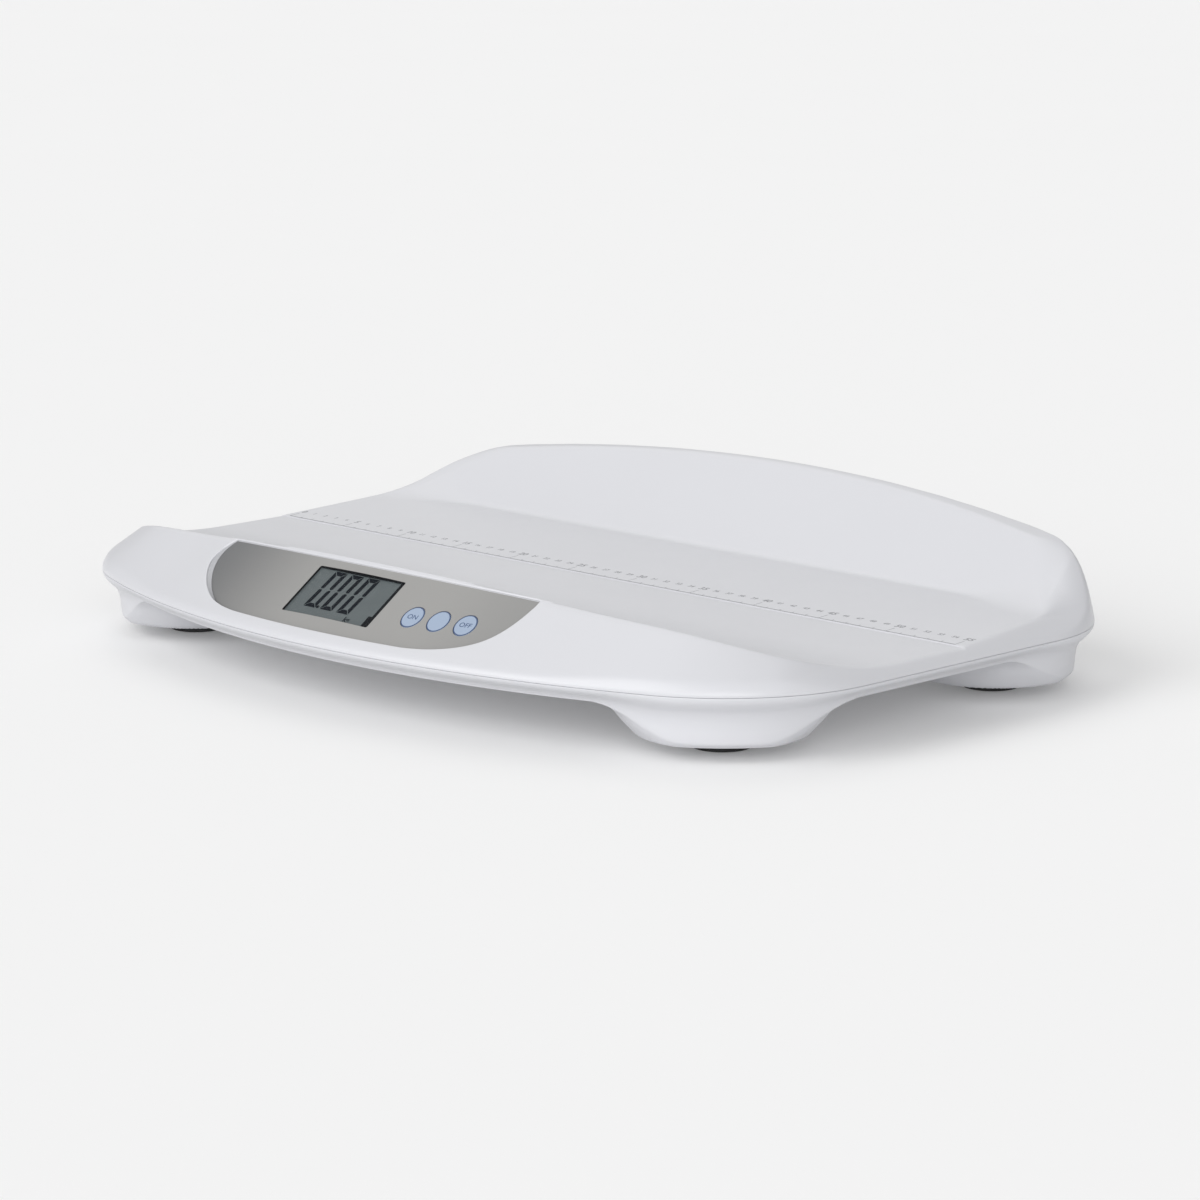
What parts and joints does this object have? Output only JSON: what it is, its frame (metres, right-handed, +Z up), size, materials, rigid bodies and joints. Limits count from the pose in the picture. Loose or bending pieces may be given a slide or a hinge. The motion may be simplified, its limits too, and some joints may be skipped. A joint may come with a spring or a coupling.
{
  "type": "digital baby weighing scale",
  "caption": "Baby scale with a curved moulded tray, raised back wall, sloping control panel with display and push buttons, and a base on rubber feet.",
  "frame": {"origin": "on the floor under the middle of the tray", "axes": "+X to the user's right along the tray, +Y away from the user towards the raised back wall, +Z up"},
  "size_m": [0.578, 0.408, 0.094],
  "materials": {
    "white_shell": "fine satin moulded white plastic",
    "grey_panel": "smooth satin warm grey sheet",
    "black_plastic": "matte black moulded plastic",
    "clear_lens": "clear flat lens",
    "display_glass": "grey-green liquid crystal glass",
    "circuit_board": "green solder mask",
    "blue_button": "satin pale blue plastic",
    "spring_steel": "bright plated spring steel",
    "screw_steel": "zinc plated steel",
    "cell_steel": "nickel plated steel plate",
    "black_rubber": "matte black rubber",
    "battery_case": "plain printed metal sleeve"
  },
  "bodies": {
    "scale": {"base_shell": "white_shell", "battery_back_left": "battery_case", "battery_back_right": "battery_case", "battery_contacts": "spring_steel", "battery_front_left": "battery_case", "battery_front_right": "battery_case", "board_screws": "screw_steel", "case_screws": "screw_steel", "cell_holder_back_left": "white_shell", "cell_holder_back_right": "white_shell", "cell_holder_front_left": "white_shell", "cell_holder_front_right": "white_shell", "control_panel": "grey_panel", "display_board": "circuit_board", "display_frame": "black_plastic", "display_lens": "clear_lens", "display_module": "display_glass", "foot_cup_back_left": "black_plastic", "foot_cup_back_right": "black_plastic", "foot_cup_front_left": "black_plastic", "foot_cup_front_right": "black_plastic", "foot_pad_back_left": "black_rubber", "foot_pad_back_right": "black_rubber", "foot_pad_front_left": "black_rubber", "foot_pad_front_right": "black_rubber", "holder_screws": "screw_steel", "key_board": "circuit_board", "key_switches": "black_plastic", "load_cell_back_left": "cell_steel", "load_cell_back_right": "cell_steel", "load_cell_front_left": "cell_steel", "load_cell_front_right": "cell_steel", "tray_shell": "white_shell"},
    "battery_door": {"battery_door": "white_shell"},
    "button_left": {"button_left": "blue_button"},
    "button_middle": {"button_middle": "blue_button"},
    "button_right": {"button_right": "blue_button"}
  },
  "joints": [
    {"name": "battery_door_hinge", "type": "hinge", "parent": "scale", "child": "battery_door", "pos_m": [0, -0.105, 0.0295], "axis": [1, 0, 0], "range_deg": [0, 38]},
    {"name": "button_left_press", "type": "slide", "parent": "scale", "child": "button_left", "axis": [-0.0579, 0.5416, -0.8387], "range_m": [0, 0.0008], "stiffness_N_per_m": 400, "springref_m": -0.0005},
    {"name": "button_middle_press", "type": "slide", "parent": "scale", "child": "button_middle", "axis": [-0.0758, 0.5393, -0.8387], "range_m": [0, 0.0008], "stiffness_N_per_m": 400, "springref_m": -0.0005},
    {"name": "button_right_press", "type": "slide", "parent": "scale", "child": "button_right", "axis": [-0.0936, 0.5365, -0.8387], "range_m": [0, 0.0008], "stiffness_N_per_m": 400, "springref_m": -0.0005}
  ]
}
